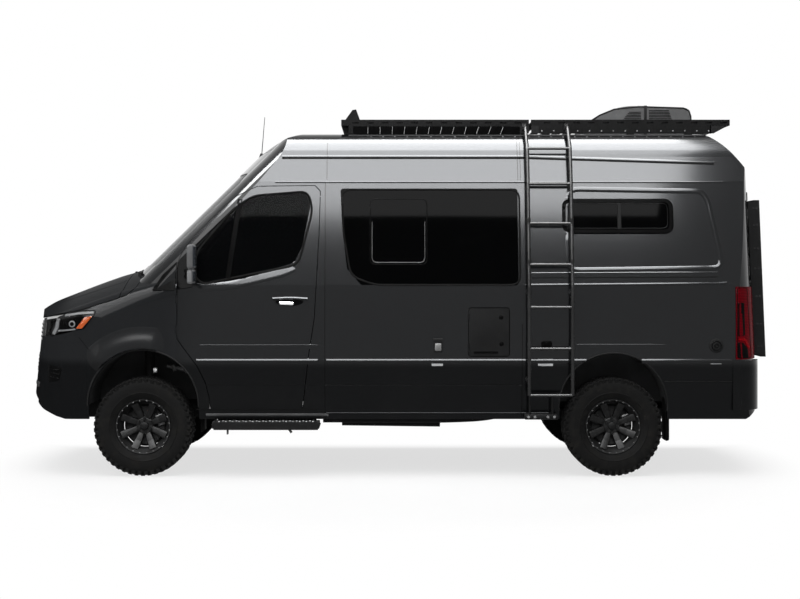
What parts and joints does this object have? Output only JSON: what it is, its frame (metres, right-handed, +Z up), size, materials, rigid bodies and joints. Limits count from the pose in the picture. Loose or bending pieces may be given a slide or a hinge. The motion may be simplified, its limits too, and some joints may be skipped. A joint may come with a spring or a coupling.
{
  "type": "high-roof camper van",
  "caption": "Dark grey high-roof camper van with tinted side windows, roof racks, a roof air conditioner, a side ladder and chunky all-terrain tyres.",
  "frame": {"origin": "on the ground, at half of the overall length and half of the overall width", "axes": "+X from nose to tail, +Y to the vehicle's right side, +Z up"},
  "size_m": [5.959, 2.5, 2.956],
  "materials": {
    "body_paint": "gloss",
    "roof_equipment": "satin",
    "dark_glass": "gloss",
    "clear_glass": "gloss",
    "lamp_front": "gloss",
    "lamp_rear": "gloss",
    "black_trim": "matte",
    "cab_trim": "matte",
    "chassis_steel": "satin",
    "engine_metal": "satin",
    "wheel_alloy": "satin",
    "knuckle_metal": "satin",
    "tyre_rubber": "matte",
    "flap_rubber": "matte",
    "seat_fabric": "matte",
    "cabinet_wood": "satin",
    "floor_paint": "satin"
  },
  "bodies": {
    "vehicle": {"roof": "body_paint", "side_left": "body_paint", "side_right": "body_paint", "floor_pan": "floor_paint", "cowl": "black_trim", "windshield": "clear_glass", "front_bumper": "body_paint", "grille": "black_trim", "headlamps": "lamp_front", "fenders": "body_paint", "sliding_door": "body_paint", "side_windows": "dark_glass", "tail_lamps": "lamp_rear", "rear_bumper": "body_paint", "chassis_frame": "chassis_steel", "cross_members": "chassis_steel", "tow_hitch": "chassis_steel", "rear_axle": "chassis_steel", "front_suspension": "chassis_steel", "engine_block": "engine_metal", "driveline": "chassis_steel", "fuel_tank": "chassis_steel", "arch_liners": "black_trim", "roof_racks": "roof_equipment", "air_conditioner": "roof_equipment", "ladder": "roof_equipment", "side_steps": "roof_equipment", "mud_flaps": "flap_rubber", "seats": "seat_fabric", "dashboard": "cab_trim", "furniture": "cabinet_wood"},
    "hood": {"hood": "body_paint"},
    "front_door_left": {"front_door_left": "body_paint", "door_glass_left": "dark_glass", "mirror_left": "black_trim"},
    "front_door_right": {"front_door_right": "body_paint", "door_glass_right": "dark_glass", "mirror_right": "black_trim"},
    "rear_door_left": {"rear_door_left": "body_paint", "rear_glass_left": "dark_glass", "rear_carrier": "roof_equipment"},
    "rear_door_right": {"rear_door_right": "body_paint", "rear_glass_right": "dark_glass"},
    "service_hatch": {"service_hatch": "body_paint"},
    "knuckle_left": {"knuckle_left": "knuckle_metal"},
    "knuckle_right": {"knuckle_right": "knuckle_metal"},
    "wheel_front_left": {"wheel_front_left": "wheel_alloy", "tyre_front_left": "tyre_rubber"},
    "wheel_front_right": {"wheel_front_right": "wheel_alloy", "tyre_front_right": "tyre_rubber"},
    "wheel_rear_left": {"wheel_rear_left": "wheel_alloy", "tyre_rear_left": "tyre_rubber"},
    "wheel_rear_right": {"wheel_rear_right": "wheel_alloy", "tyre_rear_right": "tyre_rubber"}
  },
  "joints": [
    {"name": "steer_left", "type": "hinge", "parent": "vehicle", "child": "knuckle_left", "pos_m": [-1.9755, -0.792, 0.387], "axis": [0, 0, 1], "range_deg": [-33, 33]},
    {"name": "steer_right", "type": "hinge", "parent": "vehicle", "child": "knuckle_right", "pos_m": [-1.9755, 0.792, 0.387], "axis": [0, 0, 1], "range_deg": [-33, 33]},
    {"name": "spin_front_left", "type": "hinge", "parent": "knuckle_left", "child": "wheel_front_left", "pos_m": [-1.9755, -0.867, 0.387], "axis": [0, 1, 0], "continuous": true},
    {"name": "spin_front_right", "type": "hinge", "parent": "knuckle_right", "child": "wheel_front_right", "pos_m": [-1.9755, 0.867, 0.387], "axis": [0, 1, 0], "continuous": true},
    {"name": "spin_rear_left", "type": "hinge", "parent": "vehicle", "child": "wheel_rear_left", "pos_m": [1.6895, -0.867, 0.387], "axis": [0, 1, 0], "continuous": true},
    {"name": "spin_rear_right", "type": "hinge", "parent": "vehicle", "child": "wheel_rear_right", "pos_m": [1.6895, 0.867, 0.387], "axis": [0, 1, 0], "continuous": true},
    {"name": "front_door_left", "type": "hinge", "parent": "vehicle", "child": "front_door_left", "pos_m": [-1.7085, -1.0105, 1.2], "axis": [0, 0, 1], "range_deg": [-70, 0]},
    {"name": "front_door_right", "type": "hinge", "parent": "vehicle", "child": "front_door_right", "pos_m": [-1.7085, 1.0105, 1.2], "axis": [0, 0, 1], "range_deg": [0, 70]},
    {"name": "rear_door_left", "type": "hinge", "parent": "vehicle", "child": "rear_door_left", "pos_m": [2.8275, -0.793, 0.91], "axis": [-0.042, 0, 0.9991], "range_deg": [-90, 0]},
    {"name": "rear_door_right", "type": "hinge", "parent": "vehicle", "child": "rear_door_right", "pos_m": [2.8275, 0.793, 0.91], "axis": [-0.042, 0, 0.9991], "range_deg": [0, 90]},
    {"name": "hood_hinge", "type": "hinge", "parent": "vehicle", "child": "hood", "pos_m": [-2.1625, 0, 1.588], "axis": [0, 1, 0], "range_deg": [0, 55]},
    {"name": "service_hatch", "type": "hinge", "parent": "vehicle", "child": "service_hatch", "pos_m": [0.5615, -1.0105, 1.2], "axis": [0, 0, 1], "range_deg": [-100, 0]}
  ],
  "couplings": [
    {"joint": "steer_right", "follows": "steer_left", "ratio": 1}
  ]
}
